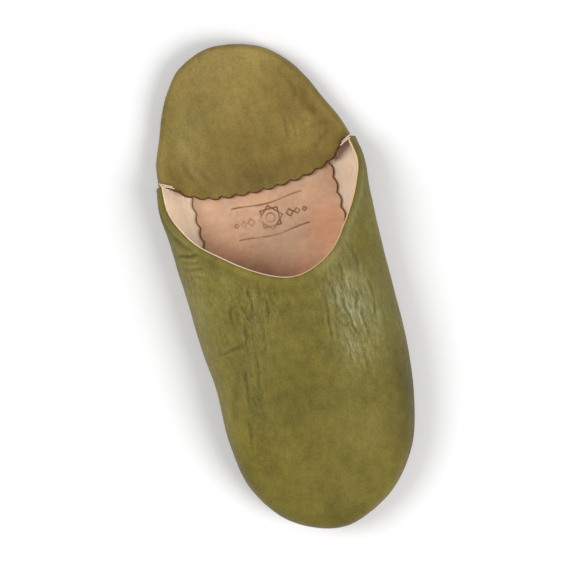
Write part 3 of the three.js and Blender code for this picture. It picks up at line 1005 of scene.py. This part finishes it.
def stamp_ink(x, y):
    """Strength of the stamped lines, from 0 to 1."""
    dy = y - STAMP_Y
    lines = [square_outline(x, dy, STAR_RADIUS * 0.707, turn) for turn in (0, math.pi / 4)]
    lines.append(np.abs(np.hypot(x, dy) - STAR_RADIUS * 0.36))
    for side in (-1, 1):
        for place, size in zip(DIAMOND_PLACES, DIAMOND_SIZES):
            lines.append(square_outline(x - side * place, dy, size * 0.8, math.pi / 4))
    for offset in RULE_OFFSETS:
        beyond = np.maximum(np.abs(x) - RULE_HALF_LENGTH, 0)
        lines.append(np.hypot(beyond, dy - offset + RULE_WAVE * np.cos(x / RULE_HALF_LENGTH * math.pi)))
    nearest = np.minimum.reduce(lines)
    pressed = 1 - smoothstep(nearest, STAMP_LINE * 0.3, STAMP_LINE * 0.95)
    faded = np.clip(0.75 + 0.5 * noise(x / 4, y / 4, 81), 0.25, 1)
    return pressed * faded


def make_sock(material):
    outline = footprint(FOOT_OF_WALL + 1.3)
    stamp_start, stamp_end = STAMP_Y - STAMP_REACH, STAMP_Y + STAMP_REACH
    coarse, fine = 1.0, 0.3
    ys = np.concatenate([
        np.arange(SOCK_TOE_Y, stamp_start, coarse),
        np.arange(stamp_start, stamp_end, fine),
        np.arange(stamp_end, SOCK_HEEL_Y + coarse / 2, coarse),
    ])
    limits = crossings(outline, ys)
    bump = scallop((ys - SOCK_TOE_Y) / SCALLOP_PITCH)
    limits[:, 0] = np.maximum(limits[:, 0], -SOCK_HALF_WIDTH) - bump
    limits[:, 1] = np.minimum(limits[:, 1], SOCK_HALF_WIDTH) + bump
    shares = np.concatenate([
        np.array([0, 0.002, 0.005, 0.01]),
        np.linspace(0.02, 0.22, 12),
        np.linspace(0.235, 0.765, 140),
        np.linspace(0.78, 0.98, 12),
        np.array([0.99, 0.995, 0.998, 1]),
    ])

    def painter(x, y, distance):
        shade = cloudy(x, y, [(0.07, 10, 10, 91), (0.06, 4, 2.2, 92), (0.05, 1.5, 1, 93)])
        shade += cloudy(x, y, [(0.06, 11, 1.8, 94)]) * smoothstep(40 - y, 0, 20)
        # painted light: the sock is made lighter on its medial side
        shade += 0.38 * smoothstep(x, 0, 34) * smoothstep(60 - y, 0, 30)
        shade += soft_sum(x, y, SOCK_TONES, "lightness")
        red = soft_sum(x, y, SOCK_TONES, "warmth")
        tint = np.stack([1 + 0.1 * red, 1 - 0.6 * red, 1 - 0.8 * red], -1)
        base = SOCK_TAN * tint * (1 + shade)[..., None]
        ink = (0.95 * stamp_ink(x, y))[..., None]
        cut = smoothstep(0.8 - distance, 0, 0.5)[..., None]
        base = base * (1 - ink) + INK * ink
        return base * (1 - cut) + SOCK_CUT * cut

    def carve(x, y):
        return -0.12 * stamp_ink(x, y)

    top = SOCK_Z + SOCK
    return plate_object("sock_leather", limits, ys, shares, SOCK_Z, top, 0.3, [material], painter, carve)


# --------------------------------------------------------------------------------- thread tacks
THREAD = 0.25  # radius of one ply of the thread
TACKS = {  # strands over the corner between flap and vamp: start, top of the arch and end
    "lateral": [
        [(-50.6, 66.9, 20.4), (-48.2, 65.9, 21.6), (-45.2, 64.4, 18.6)],
        [(-50.4, 65.6, 20.6), (-47.6, 64.8, 21.4), (-44.4, 63.2, 18.0)],
        [(-51.0, 67.6, 20.0), (-49.8, 65.2, 21.9), (-47.0, 62.6, 19.4)],
    ],
    "medial": [
        [(52.4, 66.4, 20.6), (50.0, 65.3, 21.8), (46.8, 63.8, 18.8)],
        [(51.8, 64.9, 20.8), (49.2, 64.0, 21.6), (45.8, 62.4, 18.2)],
    ],
}


def thread_tube(path, turns):
    """Two plies twisted round a smooth arch, as points and faces of two closed tubes."""
    start, top, end = (np.array(place, float) for place in path)
    steps, sides = 40, 8
    t = np.linspace(0, 1, steps + 1)[:, None]
    line = start * (1 - t) ** 2 + 2 * t * (1 - t) * (2 * top - (start + end) / 2) + end * t**2
    tangent = np.gradient(line, axis=0)
    tangent /= np.linalg.norm(tangent, axis=1, keepdims=True)
    side = np.cross(tangent, [0, 0, 1.0])
    side /= np.linalg.norm(side, axis=1, keepdims=True)
    up = np.cross(side, tangent)
    points, faces = [], []
    for ply in (0, 1):
        wind = 2 * np.pi * turns * t + np.pi * ply
        centre = line + 0.62 * THREAD * (np.cos(wind) * side + np.sin(wind) * up)
        base = len(points)
        for k in range(steps + 1):
            for corner in range(sides):
                angle = 2 * np.pi * corner / sides
                points.append(centre[k] + THREAD * (math.cos(angle) * side[k] + math.sin(angle) * up[k]))
        for k in range(steps):
            for corner in range(sides):
                a = base + k * sides + corner
                b = base + k * sides + (corner + 1) % sides
                faces.append([a, b, b + sides, a + sides])
        faces.append([base + corner for corner in range(sides)][::-1])
        faces.append([base + steps * sides + corner for corner in range(sides)])
    return points, faces


def make_tack(name, strands, material):
    points, faces = [], []
    for strand in strands:
        more, ring = thread_tube(strand, turns=4)
        faces += [[index + len(points) for index in face] for face in ring]
        points += more
    return mesh_object(name, points, faces, [material])


# ------------------------------------------------------------------------------------- the scene
FLOOR_Z = -0.0001  # metres; just under the sole, so that the two faces don't coincide
FLOOR_REACH = 2.5


def make_floor():
    corners = [(-FLOOR_REACH, -FLOOR_REACH), (FLOOR_REACH, -FLOOR_REACH)]
    corners += [(FLOOR_REACH, FLOOR_REACH), (-FLOOR_REACH, FLOOR_REACH)]
    mesh = bpy.data.meshes.new("floor")
    mesh.from_pydata([(x, y, FLOOR_Z) for x, y in corners], [], [(0, 1, 2, 3)])
    mesh.materials.append(floor_material())
    floor = bpy.data.objects.new("floor", mesh)
    bpy.context.scene.collection.objects.link(floor)


def main():
    bpy.context.scene.view_settings.view_transform = "Standard"
    make_camera()
    make_world(WORLD_STRENGTH)
    for light in LIGHTS:
        make_area_light(*light)
    make_floor()

    olive = olive_leather()
    lining = natural_leather("lining_leather", 0.0007, 0.62, (0.93, 0.88, 0.82, 1))
    sole = natural_leather("sole_leather", 0.0006, 0.6, (0.86, 0.80, 0.74, 1))
    tan = natural_leather("sock_leather", 0.0007, 0.5, (0.93, 0.87, 0.82, 1))
    thread = thread_material()

    form = vamp_form()
    pieces = [  # the object, its material slot and the CAD node that it replaces
        (make_upper(form, olive), "upper_leather", "upper"),
        (make_upper_lining(form, lining), "lining_leather", None),
        (make_quarter(olive), "upper_leather", "heel_quarter"),
        (make_outsole(sole), "sole_leather", "outsole"),
        (make_insole(lining), "lining_leather", "insole"),
        (make_sock(tan), "sock_leather", "sock"),
        (make_tack("tack_lateral", TACKS["lateral"], thread), "lining_leather", None),
        (make_tack("tack_medial", TACKS["medial"], thread), "lining_leather", None),
    ]
    for piece, slot, cad_node in pieces:
        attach(piece, "root")
        if cad_node:
            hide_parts(cad_node)


main()
